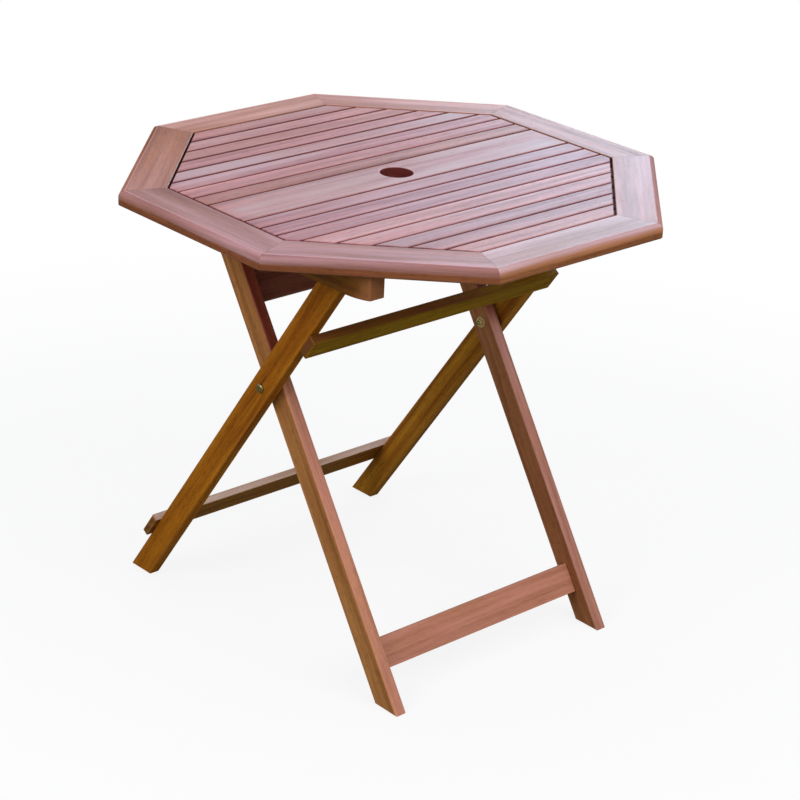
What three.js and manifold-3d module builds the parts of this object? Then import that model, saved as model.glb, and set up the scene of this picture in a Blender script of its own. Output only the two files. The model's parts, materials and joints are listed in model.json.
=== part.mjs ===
// Folding umbrella table: an octagonal slatted top on two crossed leg frames.
// Millimetres, +Z up. The origin is on the floor, under the centre of the top.
// X runs along the slats, and -Y is the side where the outer legs meet the top.

import * as THREE from 'three';
import { mergeVertices } from 'three/addons/utils/BufferGeometryUtils.js';
import Module from 'manifold-3d';

const wasm = await Module();
wasm.setup();

// Tabletop sizes
const acrossFlats = 800;
const tableHeight = 735;
const boardThickness = 23;
const rimWidth = 68;
const rimEdgeRadius = 8;
const rimEdgeStep = 0.7;
const rimLowerChamfer = 2;
const grooveDepth = 8;
const tongueThickness = 6;
const tongueInGroove = 7;
const slatsPerSide = 8;
const centreSlatWidth = 81;
const slatGap = 4.5;
const slatEndGap = 3.5;
const slatSideGap = 3.5;
const slatEase = 1.2;
const umbrellaHoleDiameter = 52;
const umbrellaHoleChamfer = 1;
const biscuitLength = 44;
const biscuitWidth = 20;
const biscuitThickness = 4;

// Battens and stop rail under the top
const battenThickness = 28;
const battenDepth = 46;
const battenOverhang = 35;
const battenTaperLength = 60;
const battenTaperRise = 6.5;
const stopRailWidth = 22;
const stopRailDepth = 24;
const stopRailHousing = 6;

// Leg frames
const legWidth = 41;
const legThickness = 20;
const frameHalfWidth = 253.5;
const topPivotDrop = 45;
const topPivotFromCentre = 171;
const outerFootFromCentre = 313;
const innerTopFromCentre = 184;
const innerFootFromCentre = 279;
const railThickness = 15;
const crossbarWidth = 38;
const crossbarHeightShare = 0.47;
const lowerStretcherWidth = 46;
const lowerStretcherThickness = 12;
const lowerStretcherOverhang = 9;
const lowerStretcherFromFoot = 79;
const innerTopRailWidth = 56;
const innerTopRailHeightShare = 0.4712;
const innerStretcherWidth = 48;
const innerStretcherFromFoot = 58;
const innerRailSetBack = 4.5;
const tenonLength = 12;
const tenonShoulder = 4;
const woodEase = 1.5;

// Fasteners
const boltDiameter = 6;
const boltHeadDiameter = 16;
const boltHeadHeight = 4;
const boltTipChamfer = 0.8;
const boltOverrun = 2;
const lowHeadDiameter = 15;
const lowHeadHeight = 2.8;
const nutAcrossFlats = 10;
const nutThickness = 5;
const nutEase = 0.6;
const washerDiameter = 19;
const washerThickness = 1.6;
const spacerDiameter = 18;
const nutPocketDiameter = 15;
const nutPocketDepth = 9;

// Clearances
const fitGap = 0.3;
const legGap = 6;
const battenGap = 0.8;
const restGap = 0.4;
const cutOverrun = 1;

// Facet counts
const arcSegments = 8;
const roundSegments = 24;

// Worked-out places
const halfFlats = acrossFlats / 2;
const innerFlats = halfFlats - rimWidth;
const octagonSides = 8;
const sectorAngle = (2 * Math.PI) / octagonSides;
const mitreTangent = Math.tan(sectorAngle / 2);
const boltRadius = boltDiameter / 2;
const boltHoleRadius = boltRadius + fitGap;
const legHalf = legWidth / 2;
const innerFrameHalfWidth = frameHalfWidth - legThickness - legGap;
const underside = tableHeight - boardThickness;
const topPivotHeight = tableHeight - topPivotDrop;

// The cross pivot is where the two frames' centre lines meet
const outerSlope = (topPivotFromCentre + outerFootFromCentre) / topPivotHeight;
const innerSlope = (innerTopFromCentre + innerFootFromCentre) / underside;
const outerLean = Math.atan(outerSlope);
const innerLean = Math.atan(innerSlope);
const crossPivotHeight = (outerFootFromCentre + innerFootFromCentre) / (outerSlope + innerSlope);
const crossPivotY = outerFootFromCentre - crossPivotHeight * outerSlope;
const topPivotReach = (topPivotHeight - crossPivotHeight) / Math.cos(outerLean);

const materials = {
  rim: new THREE.MeshStandardMaterial({ color: 0xb4806f, roughness: 0.55, metalness: 0 }),
  biscuit: new THREE.MeshStandardMaterial({ color: 0xd9b98c, roughness: 0.8, metalness: 0 }),
  slat: new THREE.MeshStandardMaterial({ color: 0xbf989b, roughness: 0.5, metalness: 0 }),
  frame: new THREE.MeshStandardMaterial({ color: 0x8a5426, roughness: 0.6, metalness: 0 }),
  innerFrame: new THREE.MeshStandardMaterial({ color: 0xa5695a, roughness: 0.6, metalness: 0 }),
  metal: new THREE.MeshStandardMaterial({ color: 0x9b9679, roughness: 0.35, metalness: 0.9 }),
};

// Closed geometry to solid, and back
function toSolid(geometry) {
  const bare = geometry.clone();
  bare.deleteAttribute('normal');
  bare.deleteAttribute('uv');
  const merged = mergeVertices(bare);
  return new wasm.Manifold(new wasm.Mesh({
    numProp: 3,
    vertProperties: new Float32Array(merged.attributes.position.array),
    triVerts: new Uint32Array(merged.index.array),
  }));
}

function toGeometry(solid) {
  const mesh = solid.getMesh();
  const geometry = new THREE.BufferGeometry();
  geometry.setAttribute('position', new THREE.BufferAttribute(new Float32Array(mesh.vertProperties), 3));
  geometry.setIndex(new THREE.BufferAttribute(new Uint32Array(mesh.triVerts), 1));
  geometry.computeVertexNormals();
  return geometry;
}

function join(first, second) {
  return toGeometry(toSolid(first).add(toSolid(second)));
}

function cut(body, ...tools) {
  return toGeometry(tools.reduce((solid, tool) => solid.subtract(toSolid(tool)), toSolid(body)));
}

// Prisms with eased edges
function easedPrism(shape, depth, ease) {
  const geometry = new THREE.ExtrudeGeometry(shape, {
    depth: depth - 2 * ease,
    bevelEnabled: ease > 0,
    bevelThickness: ease,
    bevelSize: ease,
    bevelOffset: -ease,
    bevelSegments: 1,
    curveSegments: arcSegments,
  });
  geometry.translate(0, 0, ease);
  return geometry;
}

// A shape drawn in the Y-Z plane becomes a prism along X, centred on a given X
const drawingToSide = new THREE.Matrix4().makeBasis(
  new THREE.Vector3(0, 1, 0),
  new THREE.Vector3(0, 0, 1),
  new THREE.Vector3(1, 0, 0),
);

function sidePrism(shape, thickness, centreX, ease) {
  const geometry = easedPrism(shape, thickness, ease);
  geometry.applyMatrix4(drawingToSide);
  geometry.translate(centreX - thickness / 2, 0, 0);
  return geometry;
}

function rectangle(left, bottom, width, height) {
  const shape = new THREE.Shape();
  shape.moveTo(left, bottom);
  shape.lineTo(left + width, bottom);
  shape.lineTo(left + width, bottom + height);
  shape.lineTo(left, bottom + height);
  shape.closePath();
  return shape;
}

function polygon(points) {
  return new THREE.Shape(points.map(([x, y]) => new THREE.Vector2(x, y)));
}

function rod(radius, fromX, toX, y, z) {
  const geometry = new THREE.CylinderGeometry(radius, radius, toX - fromX, roundSegments);
  geometry.rotateZ(Math.PI / 2);
  geometry.translate((fromX + toX) / 2, y, z);
  return geometry;
}

function ring(outerRadius, holeRadius, thickness, ease) {
  const shape = new THREE.Shape();
  shape.absarc(0, 0, outerRadius, 0, 2 * Math.PI);
  const hole = new THREE.Path();
  hole.absarc(0, 0, holeRadius, 0, 2 * Math.PI, true);
  shape.holes.push(hole);
  return easedPrism(shape, thickness, ease);
}

// A profile of radii and heights turned about the Y axis
function turned(profile, segments) {
  const points = profile.map(([radius, height]) => new THREE.Vector2(radius, height));
  return new THREE.LatheGeometry(points, segments);
}

function mesh(name, geometry, material) {
  const made = new THREE.Mesh(geometry, material);
  made.name = name;
  return made;
}

// Rim: eight mitred boards with a groove for the slats. A shallow step runs along the upper
// edge, where the rounding starts.
function rimProfile() {
  const grooveHeight = tongueThickness + 2 * fitGap;
  const grooveBottom = -(boardThickness + grooveHeight) / 2;
  const edgeStart = halfFlats - rimEdgeRadius;
  const edgeEnd = -rimEdgeStep - rimEdgeRadius;
  const shape = new THREE.Shape();
  shape.moveTo(innerFlats, -boardThickness);
  shape.lineTo(halfFlats - rimLowerChamfer, -boardThickness);
  shape.lineTo(halfFlats, rimLowerChamfer - boardThickness);
  shape.lineTo(halfFlats, edgeEnd);
  shape.absarc(edgeStart, edgeEnd, rimEdgeRadius, 0, Math.PI / 2);
  shape.lineTo(edgeStart, 0);
  shape.lineTo(innerFlats + slatEase, 0);
  shape.lineTo(innerFlats, -slatEase);
  shape.lineTo(innerFlats, grooveBottom + grooveHeight);
  shape.lineTo(innerFlats + grooveDepth, grooveBottom + grooveHeight);
  shape.lineTo(innerFlats + grooveDepth, grooveBottom);
  shape.lineTo(innerFlats, grooveBottom);
  shape.closePath();
  return shape;
}

function rimBoardGeometry() {
  const mitreSetBack = fitGap / 2 / Math.cos(sectorAngle / 2);
  const geometry = new THREE.ExtrudeGeometry(rimProfile(), {
    depth: 1,
    bevelEnabled: false,
    curveSegments: arcSegments,
  });
  const place = geometry.attributes.position;
  for (let i = 0; i < place.count; i++) {
    const reach = place.getX(i);
    const height = place.getY(i);
    const end = 1 - 2 * place.getZ(i);
    place.setXYZ(i, reach, end * (reach * mitreTangent - mitreSetBack), height);
  }
  geometry.computeVertexNormals();
  return geometry;
}

// Each mitre is held by a lens-shaped biscuit in a slot that both boards share
const mitreReach = (innerFlats + grooveDepth + halfFlats) / 2 / Math.cos(sectorAngle / 2);

function biscuitGeometry(clearance) {
  const halfLength = biscuitLength / 2 + clearance;
  const halfWidth = biscuitWidth / 2 + clearance;
  const radius = (halfLength ** 2 + halfWidth ** 2) / 2 / halfWidth;
  const halfAngle = Math.asin(halfLength / radius);
  const toCentre = radius - halfWidth;
  const shape = new THREE.Shape();
  shape.absarc(0, -toCentre, radius, Math.PI / 2 - halfAngle, Math.PI / 2 + halfAngle);
  shape.absarc(0, toCentre, radius, -Math.PI / 2 - halfAngle, -Math.PI / 2 + halfAngle);
  const geometry = easedPrism(shape, biscuitThickness + 2 * clearance, 0);
  geometry.translate(mitreReach, 0, -(boardThickness + biscuitThickness) / 2 - clearance);
  return geometry;
}

const rimNames = ['right', 'back_right', 'back', 'back_left', 'left', 'front_left', 'front', 'front_right'];

function addRim(group) {
  const slots = [-1, 1].map((end) => biscuitGeometry(fitGap).rotateZ((end * sectorAngle) / 2));
  const board = cut(rimBoardGeometry(), ...slots);
  rimNames.forEach((name, i) => {
    const made = mesh(`rim_${name}`, board.clone(), materials.rim);
    made.rotation.z = i * sectorAngle;
    group.add(made);
    const biscuit = mesh(`rim_biscuit_${i + 1}`, biscuitGeometry(0), materials.biscuit);
    biscuit.rotation.z = (i + 1 / 2) * sectorAngle;
    group.add(biscuit);
  });
}

// Slats: strips across the octagon, with a tongue at each end
function clipToHalfPlane(points, normalAngle, limit) {
  const side = ([x, y]) => limit - x * Math.cos(normalAngle) - y * Math.sin(normalAngle);
  const kept = [];
  points.forEach((point, i) => {
    const next = points[(i + 1) % points.length];
    const here = side(point);
    const there = side(next);
    if (here >= 0) kept.push(point);
    if (here * there < 0) {
      const t = here / (here - there);
      kept.push([point[0] + t * (next[0] - point[0]), point[1] + t * (next[1] - point[1])]);
    }
  });
  return kept;
}

function stripInOctagon(lowY, highY, reach) {
  const corners = [[-halfFlats, lowY], [halfFlats, lowY], [halfFlats, highY], [-halfFlats, highY]];
  const endSides = [0, 1, 3, 4, 5, 7];
  return endSides.reduce((points, i) => clipToHalfPlane(points, i * sectorAngle, reach), corners);
}

function slatGeometry(lowY, highY) {
  const outline = stripInOctagon(lowY, highY, innerFlats - slatEndGap);
  const body = easedPrism(polygon(outline), boardThickness, slatEase);
  body.translate(0, 0, -boardThickness);
  const tongueOutline = stripInOctagon(lowY + slatEase, highY - slatEase, innerFlats + tongueInGroove);
  const tongue = easedPrism(polygon(tongueOutline), tongueThickness, 0);
  tongue.translate(0, 0, -(boardThickness + tongueThickness) / 2);
  return join(body, tongue);
}

function umbrellaHoleTool() {
  const radius = umbrellaHoleDiameter / 2;
  const mouth = radius + umbrellaHoleChamfer;
  const profile = [
    [0, -boardThickness - cutOverrun],
    [radius, -boardThickness - cutOverrun],
    [radius, -umbrellaHoleChamfer],
    [mouth, 0],
    [mouth, cutOverrun],
    [0, cutOverrun],
  ];
  return turned(profile, 2 * roundSegments).rotateX(Math.PI / 2);
}

function addSlats(group) {
  const half = centreSlatWidth / 2;
  const space = innerFlats - slatSideGap - half - slatsPerSide * slatGap;
  const slatWidth = space / slatsPerSide;
  group.add(mesh('centre_slat', cut(slatGeometry(-half, half), umbrellaHoleTool()), materials.slat));
  for (let i = 0; i < slatsPerSide; i++) {
    const near = half + slatGap + i * (slatWidth + slatGap);
    group.add(mesh(`slat_front_${i + 1}`, slatGeometry(-near - slatWidth, -near), materials.slat));
    group.add(mesh(`slat_back_${i + 1}`, slatGeometry(near, near + slatWidth), materials.slat));
  }
}

// The height along a leaning leg, from the cross pivot, where a level plane cuts it
function levelCut(across, lean, height) {
  return (height - crossPivotHeight - across * Math.sin(lean)) / Math.cos(lean);
}

// Battens: tapered bars across the slats, with the top pivot hole and a pocket for its nut.
// They reach past the stop rail, which lies against the inner legs' tops.
const battenInnerFace = frameHalfWidth + battenGap;
const battenOuterFace = battenInnerFace + battenThickness;
const innerLegTop = levelCut(legHalf, -innerLean, underside - restGap);
const innerLegBack = crossPivotY + innerLegTop * Math.sin(innerLean) + legHalf * Math.cos(innerLean);
const stopRailFront = innerLegBack + restGap;
const battenHalfLength = stopRailFront + stopRailWidth + battenOverhang;

function battenShape() {
  const top = -boardThickness - fitGap;
  const bottom = top - battenDepth;
  const straight = battenHalfLength - battenTaperLength;
  const bend = battenHalfLength - battenTaperLength / 2;
  const shape = new THREE.Shape();
  shape.moveTo(-battenHalfLength, top);
  shape.lineTo(-battenHalfLength, bottom + battenTaperRise);
  shape.quadraticCurveTo(-bend, bottom, -straight, bottom);
  shape.lineTo(straight, bottom);
  shape.quadraticCurveTo(bend, bottom, battenHalfLength, bottom + battenTaperRise);
  shape.lineTo(battenHalfLength, top);
  shape.closePath();
  return shape;
}

// The stop rail runs between the battens, its ends housed in their inner faces
function stopRailGeometry(clearance) {
  const top = -boardThickness - fitGap + clearance;
  const depth = stopRailDepth + 2 * clearance;
  const shape = rectangle(stopRailFront - clearance, top - depth, stopRailWidth + 2 * clearance, depth);
  const length = 2 * (battenInnerFace + stopRailHousing + clearance);
  return sidePrism(shape, length, 0, clearance > 0 ? 0 : woodEase);
}

function battenGeometry(side) {
  const centreX = side * (battenInnerFace + battenThickness / 2);
  const body = sidePrism(battenShape(), battenThickness, centreX, woodEase);
  const span = [battenInnerFace - cutOverrun, battenOuterFace + cutOverrun].map((x) => side * x);
  const pocket = [battenOuterFace - nutPocketDepth, battenOuterFace + cutOverrun].map((x) => side * x);
  return cut(
    body,
    rod(boltHoleRadius, Math.min(...span), Math.max(...span), -topPivotFromCentre, -topPivotDrop),
    rod(nutPocketDiameter / 2, Math.min(...pocket), Math.max(...pocket), -topPivotFromCentre, -topPivotDrop),
    stopRailGeometry(fitGap),
  );
}

function addBattensAndStop(group) {
  group.add(mesh('batten_left', battenGeometry(-1), materials.frame));
  group.add(mesh('batten_right', battenGeometry(1), materials.frame));
  group.add(mesh('stop_rail', stopRailGeometry(0), materials.frame));
}

// Legs
function pivotHole(height) {
  const hole = new THREE.Path();
  hole.absarc(0, height, boltHoleRadius, 0, 2 * Math.PI, true);
  return hole;
}

function outerLegGeometry(side) {
  const shape = new THREE.Shape();
  shape.moveTo(-legHalf, levelCut(-legHalf, outerLean, 0));
  shape.lineTo(legHalf, levelCut(legHalf, outerLean, 0));
  shape.lineTo(legHalf, topPivotReach);
  shape.absarc(0, topPivotReach, legHalf, 0, Math.PI);
  shape.closePath();
  shape.holes.push(pivotHole(0), pivotHole(topPivotReach));
  return sidePrism(shape, legThickness, side * (frameHalfWidth - legThickness / 2), woodEase);
}

function innerLegBody(side) {
  const shape = new THREE.Shape();
  shape.moveTo(-legHalf, levelCut(-legHalf, -innerLean, 0));
  shape.lineTo(legHalf, levelCut(legHalf, -innerLean, 0));
  shape.lineTo(legHalf, innerLegTop);
  shape.lineTo(-legHalf, levelCut(-legHalf, -innerLean, underside - restGap));
  shape.closePath();
  shape.holes.push(pivotHole(0));
  return sidePrism(shape, legThickness, side * (innerFrameHalfWidth - legThickness / 2), woodEase);
}

// Rails of the outer frame, laid on its legs' front and back faces
function crossbarGeometry() {
  const bottom = topPivotReach * crossbarHeightShare - crossbarWidth / 2;
  const shape = rectangle(-legHalf - fitGap - railThickness, bottom, railThickness, crossbarWidth);
  return sidePrism(shape, 2 * frameHalfWidth, 0, woodEase);
}

function lowerStretcherGeometry() {
  const bottom = levelCut(0, outerLean, 0) + lowerStretcherFromFoot;
  const shape = rectangle(legHalf + fitGap, bottom, lowerStretcherThickness, lowerStretcherWidth);
  return sidePrism(shape, 2 * (frameHalfWidth + lowerStretcherOverhang), 0, woodEase);
}

// Rails of the inner frame, tenoned between its legs
const innerRails = {
  top_rail: {
    width: innerTopRailWidth,
    bottom: levelCut(0, -innerLean, underside) * innerTopRailHeightShare - innerTopRailWidth / 2,
  },
  bottom_stretcher: {
    width: innerStretcherWidth,
    bottom: levelCut(0, -innerLean, 0) + innerStretcherFromFoot,
  },
};
const innerRailFront = -innerRailSetBack;

function tenonShape(rail, clearance) {
  return rectangle(
    innerRailFront + tenonShoulder - clearance,
    rail.bottom + tenonShoulder - clearance,
    railThickness - 2 * tenonShoulder + 2 * clearance,
    rail.width - 2 * tenonShoulder + 2 * clearance,
  );
}

function innerRailGeometry(rail) {
  const shoulderToShoulder = 2 * (innerFrameHalfWidth - legThickness - fitGap);
  const shape = rectangle(innerRailFront, rail.bottom, railThickness, rail.width);
  const body = sidePrism(shape, shoulderToShoulder, 0, woodEase);
  const tenons = sidePrism(tenonShape(rail, 0), shoulderToShoulder + 2 * tenonLength, 0, 0);
  return join(body, tenons);
}

function innerLegGeometry(side) {
  const mortiseDepth = tenonLength + cutOverrun;
  const face = innerFrameHalfWidth - legThickness;
  const centreX = side * (face + (mortiseDepth - cutOverrun) / 2);
  const mortises = Object.values(innerRails).map((rail) =>
    sidePrism(tenonShape(rail, fitGap), mortiseDepth + cutOverrun, centreX, 0));
  return cut(innerLegBody(side), ...mortises);
}

// Bolts lie along X with their heads towards side
function boltGeometry(side, tipX, headX, headProfile) {
  const length = headX - tipX;
  const profile = [
    [0, 0],
    [boltRadius - boltTipChamfer, 0],
    [boltRadius, boltTipChamfer],
    [boltRadius, length],
    ...headProfile.map(([r, h]) => [r, length + h]),
  ];
  const geometry = turned(profile, roundSegments).rotateZ((-side * Math.PI) / 2);
  geometry.translate(side * tipX, 0, 0);
  return geometry;
}

function domedHeadProfile() {
  const radius = boltHeadDiameter / 2;
  const points = [];
  for (let i = 0; i <= arcSegments; i++) {
    const angle = (i / arcSegments) * (Math.PI / 2);
    points.push([i === arcSegments ? 0 : radius * Math.cos(angle), boltHeadHeight * Math.sin(angle)]);
  }
  return points;
}

function lowHeadProfile() {
  const radius = lowHeadDiameter / 2;
  const chamfer = lowHeadHeight / 2;
  return [[radius, 0], [radius, chamfer], [radius - chamfer, lowHeadHeight], [0, lowHeadHeight]];
}

function hexNutGeometry() {
  const cornerRadius = nutAcrossFlats / 2 / Math.cos(Math.PI / 6);
  const corners = [];
  for (let i = 0; i < 6; i++) {
    const angle = (i * Math.PI) / 3;
    corners.push([cornerRadius * Math.cos(angle), cornerRadius * Math.sin(angle)]);
  }
  const shape = polygon(corners);
  const hole = new THREE.Path();
  hole.absarc(0, 0, boltHoleRadius, 0, 2 * Math.PI, true);
  shape.holes.push(hole);
  return easedPrism(shape, nutThickness, nutEase);
}

// A part drawn flat on its hole's axis is laid along X, from a given distance inwards
function onAxis(geometry, side, innerX, thickness) {
  geometry.translate(0, 0, -thickness / 2);
  geometry.rotateY(Math.PI / 2);
  geometry.translate(side * (innerX + thickness / 2), 0, 0);
  return geometry;
}

const sides = [['left', -1], ['right', 1]];

function addCrossPivots(outerFrame, innerFrame) {
  const innerFace = innerFrameHalfWidth - legThickness;
  const washerX = innerFace - fitGap - washerThickness;
  const nutX = washerX - fitGap - nutThickness;
  const spacerThickness = legGap - 2 * fitGap;
  for (const [name, side] of sides) {
    const bolt = boltGeometry(side, nutX - boltOverrun, frameHalfWidth + fitGap, domedHeadProfile());
    const spacer = ring(spacerDiameter / 2, boltHoleRadius, spacerThickness, 0);
    const washer = ring(washerDiameter / 2, boltHoleRadius, washerThickness, 0);
    onAxis(spacer, side, innerFrameHalfWidth + fitGap, spacerThickness);
    onAxis(washer, side, washerX, washerThickness);
    const nut = onAxis(hexNutGeometry(), side, nutX, nutThickness);
    outerFrame.add(mesh(`cross_bolt_${name}`, bolt, materials.metal));
    outerFrame.add(mesh(`cross_spacer_${name}`, spacer, materials.metal));
    innerFrame.add(mesh(`cross_washer_${name}`, washer, materials.metal));
    innerFrame.add(mesh(`cross_nut_${name}`, nut, materials.metal));
  }
}

function addTopPivots(tabletop) {
  const headX = frameHalfWidth - legThickness - fitGap;
  const nutX = battenOuterFace - nutPocketDepth + fitGap;
  for (const [name, side] of sides) {
    const bolt = boltGeometry(-side, -(nutX + nutThickness + boltOverrun), -headX, lowHeadProfile());
    const nut = onAxis(hexNutGeometry(), side, nutX, nutThickness);
    for (const [piece, geometry] of [['bolt', bolt], ['nut', nut]]) {
      const made = mesh(`top_${piece}_${name}`, geometry, materials.metal);
      made.position.set(0, -topPivotFromCentre, -topPivotDrop);
      tabletop.add(made);
    }
  }
}

// The three bodies
const tabletop = new THREE.Group();
tabletop.position.z = tableHeight;
addRim(tabletop);
addSlats(tabletop);
addBattensAndStop(tabletop);
addTopPivots(tabletop);

const outerFrame = new THREE.Group();
outerFrame.position.set(0, crossPivotY, crossPivotHeight);
outerFrame.rotation.x = outerLean;
for (const [name, side] of sides) {
  outerFrame.add(mesh(`outer_leg_${name}`, outerLegGeometry(side), materials.frame));
}
outerFrame.add(mesh('upper_crossbar', crossbarGeometry(), materials.frame));
outerFrame.add(mesh('lower_stretcher', lowerStretcherGeometry(), materials.frame));

const innerFrame = new THREE.Group();
innerFrame.position.copy(outerFrame.position);
innerFrame.rotation.x = -innerLean;
for (const [name, side] of sides) {
  innerFrame.add(mesh(`inner_leg_${name}`, innerLegGeometry(side), materials.innerFrame));
}
for (const [name, rail] of Object.entries(innerRails)) {
  innerFrame.add(mesh(`inner_${name}`, innerRailGeometry(rail), materials.innerFrame));
}
addCrossPivots(outerFrame, innerFrame);

const umbrellaTable = new THREE.Group();
umbrellaTable.add(tabletop, outerFrame, innerFrame);

export default umbrellaTable;
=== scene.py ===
import json
import math
import random
from typing import NamedTuple

import bmesh
import bpy
import numpy as np
from mathutils import Matrix, Vector


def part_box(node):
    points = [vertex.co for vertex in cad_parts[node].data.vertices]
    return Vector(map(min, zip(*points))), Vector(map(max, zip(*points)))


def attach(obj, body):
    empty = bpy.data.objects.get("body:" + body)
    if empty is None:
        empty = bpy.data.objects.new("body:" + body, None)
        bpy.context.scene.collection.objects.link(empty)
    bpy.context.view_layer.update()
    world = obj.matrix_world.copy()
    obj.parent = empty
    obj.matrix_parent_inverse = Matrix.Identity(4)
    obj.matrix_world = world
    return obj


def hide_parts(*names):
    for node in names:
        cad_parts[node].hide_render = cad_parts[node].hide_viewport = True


bl_info = {
    "name": "Folding umbrella table",
    "version": (1, 0, 0),
    "blender": (4, 5, 0),
    "location": "3D View > Sidebar > Umbrella table",
    "description": "Dresses the packed umbrella table with oiled hardwood, plated bolts, screws and plugs",
    "category": "Object",
}

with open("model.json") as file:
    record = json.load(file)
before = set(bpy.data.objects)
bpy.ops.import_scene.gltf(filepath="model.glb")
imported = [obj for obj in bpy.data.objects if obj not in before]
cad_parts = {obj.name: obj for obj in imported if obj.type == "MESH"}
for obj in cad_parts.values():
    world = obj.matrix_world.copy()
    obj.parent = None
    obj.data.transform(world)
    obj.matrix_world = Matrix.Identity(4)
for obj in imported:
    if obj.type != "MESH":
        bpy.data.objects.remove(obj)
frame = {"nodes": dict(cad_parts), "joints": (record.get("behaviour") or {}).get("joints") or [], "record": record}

RIM_BOARDS = [
    "rim_right", "rim_back_right", "rim_back", "rim_back_left",
    "rim_left", "rim_front_left", "rim_front", "rim_front_right",
]
BISCUITS = [f"rim_biscuit_{i}" for i in range(1, 9)]
SLATS = [
    *[f"slat_front_{i}" for i in range(8, 0, -1)],
    "centre_slat",
    *[f"slat_back_{i}" for i in range(1, 9)],
]
SIDES = ("left", "right")
UP = Vector((0, 0, 1))
ALONG_X = Vector((1, 0, 0))


class Cut(NamedTuple):
    """How one board's wood differs from its neighbours'"""

    level: float = 1.0  # how much lighter
    bleached: float = 1.0  # how much further bleached
    warmth: float = 0.0
    # more or less olive: a painted green cast of light bounced up from below
    olive_bounce: float = 0.0
    tilt: float = 0.0  # how much further bleached towards the end that its grain points to
    blush: float = 0.0  # how much redder where it is bleached


class Shoulder(NamedTuple):
    """How the outer edge of a rim board has weathered, with the painted highlight and painted shade on it"""

    bleached: float = 0.7  # share of the bleaching on top
    fade: float = 0.005  # height over which the bleaching ends
    wear_and_highlight: float = 0.5  # wear of the upper arris, with its painted highlight
    shade: float = 1.0  # how much of its brightness the edge keeps under its painted shade


class Look(NamedTuple):
    """How a group of boards is finished"""

    gloss: float = 0.5
    wear: float = 1.0  # share of the table's edge wear
    grime: float = 0.0  # dirt and painted shade in the gaps between boards
    bleach_from: float = 0.1  # upward part of the normal at which the bleaching starts
    bleach_to: float = 0.75  # and is full
    square_ends: bool = False
    sheltered: bool = False  # less bleached under the top: shelter from the weather and painted shade
    stained: float = 0.0  # painted shade on upper faces under the top
    edge_width: float = 0.0  # a rim board's rounded edge
    dull_ends: float = 0.0  # length of a slat's less bleached ends
    pale_ends: float = 0.0  # length of the blotches at a batten's ends
    dirty_end: bool = False  # the crossbar's painted shade on its upper face fades towards its right end
    end_tone: tuple = ()


class Metal(NamedTuple):
    """How a plating has aged"""

    metallic: float
    tarnished: float
    smoothest: float
    roughest: float


# Per-board tones; the inner top rail's low level is painted shade under the top, and the right outer leg's high level
# is painted light on it
CUTS = {
    "slat_front_8": Cut(1.02, 0.5, 0.2),
    "slat_front_7": Cut(0.95, 0.55),
    "slat_front_6": Cut(0.86, 0.72, -0.2, tilt=-0.6),
    "slat_front_5": Cut(1.02, 0.9),
    "slat_front_4": Cut(1.24, 0.75, 0.1),
    "slat_front_3": Cut(0.96, 0.75, -0.4),
    "slat_front_2": Cut(0.95, 0.8, -0.5),
    "slat_front_1": Cut(0.95, 1.0, -0.3),
    "centre_slat": Cut(0.92, 1.6, 0.2),
    "slat_back_1": Cut(0.83, 0.3, 0.6),
    "slat_back_2": Cut(1.1, 0.35),
    "slat_back_3": Cut(1.05, 0.9, -0.2),
    "slat_back_4": Cut(1.0, 1.2),
    "slat_back_5": Cut(1.08, 0.3, -0.1),
    "slat_back_6": Cut(1.08, 0.35, 0.4),
    "slat_back_7": Cut(1.1, 0.8, 0.2),
    "slat_back_8": Cut(1.03, 0.55, 0.3, tilt=0.8),
    "rim_right": Cut(1.22, 1.25, 0.2),
    "rim_back_right": Cut(1.44, 1.2, 0.3, tilt=0.3),
    "rim_back": Cut(1.55, 1.0, 0.6),
    "rim_back_left": Cut(1.46, 0.36, 0.5, tilt=0.8),
    "rim_left": Cut(1.06, 0.84, -0.5, tilt=0.4),
    "rim_front_left": Cut(1.14, 1.33, -0.5, tilt=-0.35),
    "rim_front": Cut(1.1, 1.3, -1.4, 0.5),
    "rim_front_right": Cut(1.2, 1.25, -0.2),
    "outer_leg_left": Cut(1.15, 1.0, 1.1),
    "outer_leg_right": Cut(1.28, 1.0, -0.5, 0.6),
    "upper_crossbar": Cut(0.85, 1.6),
    "lower_stretcher": Cut(0.85, 1.7),
    "inner_leg_left": Cut(1.13, 0.72, 0.3, 0.15, blush=1.0),
    "inner_leg_right": Cut(0.91, 1.33, 0.0, -0.3),
    "inner_top_rail": Cut(0.6, 0.2, 0.3, -1.1),
    "inner_bottom_stretcher": Cut(1.05, 1.6),
    **dict.fromkeys(("batten_left", "batten_right", "stop_rail"), Cut(0.75, 0.3)),
}
SHOULDERS = {
    "rim_left": Shoulder(1.35, 0.003, 1.0, 0.88),
    "rim_front_left": Shoulder(0.56, 0.0015, 1.0, 0.78),
    "rim_front": Shoulder(1.0, 0.009, 0.6),
}
METALS = {
    "plating": Metal(0.95, 0.45, 0.07, 0.2),
    "nut_plating": Metal(0.5, 0.7, 0.2, 0.4),
    "dull_plating": Metal(0.25, 0.4, 0.41, 0.65),
}

# Casts, painted shade and highlights, and gap dirt with painted shade
REDDENING = 0.2
WEAR_AND_HIGHLIGHT_GAIN = 1.38
SHADE_UNDER_TOP_TINT = (0.62, 0.25, 0.4, 1)
GAP_DIRT_SHADE_TONE = (0.34, 0.16, 0.14, 1)

# Heights on the legs, in metres: where the less bleached part under the top (shelter and painted shade) and the dark
# painted shade under the top begin and are full
SHELTER_AND_SHADE = (0.42, 0.485)
SHADE_UNDER_TOP_HEIGHTS = (0.435, 0.485)

# Bleached, darkened and worn parts of boards, with their painted shade and highlights, in metres
SHOULDER_DEPTH = 0.0135
BOARD_WALL = (0.0035, 0.001)
SLAT_STEP = (0.006, 0.003)
TOP_SHADE_FADE = (0.06, 0.12)
HOLE_RUB = 0.0022
ANY_LENGTH = 10

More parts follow.
